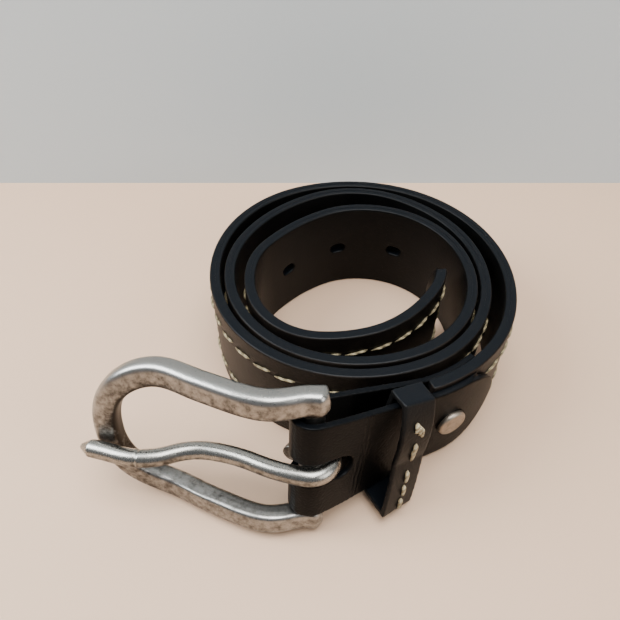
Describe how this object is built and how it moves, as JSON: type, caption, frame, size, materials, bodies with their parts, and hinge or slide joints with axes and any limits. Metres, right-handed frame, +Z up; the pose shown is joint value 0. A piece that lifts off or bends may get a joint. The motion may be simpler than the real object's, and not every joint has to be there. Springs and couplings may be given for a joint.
{
  "type": "leather belt",
  "caption": "Leather belt rolled up and standing on its edge, with a horseshoe buckle, a prong, a riveted tab and a keeper loop.",
  "frame": {"origin": "middle of the bounding box in plan, at the height of the strap's lower edge", "axes": "+Z up, along the strap's width; the buckle is at the front, at -Y, and its round end points to -X"},
  "size_m": [0.1412, 0.1356, 0.0549],
  "materials": {
    "strap_leather": "brown-black full-grain leather, fine grain, soft sheen",
    "lining_leather": "smooth black lining leather",
    "tab_leather": "soft black leather, creased",
    "keeper_leather": "black leather, matt with a polished cut edge",
    "strap_thread": "waxed cream thread, twisted",
    "keeper_thread": "cream thread, twisted",
    "rivet_metal": "antique nickel, satin",
    "buckle_metal": "brushed antique nickel with a darker patina in the hollows"
  },
  "bodies": {
    "strap": {"strap_face": "strap_leather", "strap_lining": "lining_leather", "upper_stitch_row": "strap_thread", "lower_stitch_row": "strap_thread", "buckle_tab": "tab_leather", "rivet_cap": "rivet_metal", "rivet_stud": "rivet_metal"},
    "buckle": {"buckle_ring": "buckle_metal", "buckle_bar": "buckle_metal"},
    "prong": {"buckle_prong": "buckle_metal"},
    "keeper": {"keeper_loop": "keeper_leather", "keeper_stitching": "keeper_thread"}
  },
  "joints": [
    {"name": "buckle_swing", "type": "hinge", "parent": "strap", "child": "buckle", "pos_m": [-0.00163, -0.05584, 0.02737], "axis": [0.0326, 0.2406, 0.9701], "range_deg": [-25, 45]},
    {"name": "prong_swing", "type": "hinge", "parent": "buckle", "child": "prong", "pos_m": [-0.00163, -0.05584, 0.02737], "axis": [0.0326, 0.2406, 0.9701], "range_deg": [0, 90]},
    {"name": "keeper_slide", "type": "slide", "parent": "strap", "child": "keeper", "axis": [-0.869, -0.4508, 0.204], "range_m": [-0.0015, 0.0025]}
  ]
}
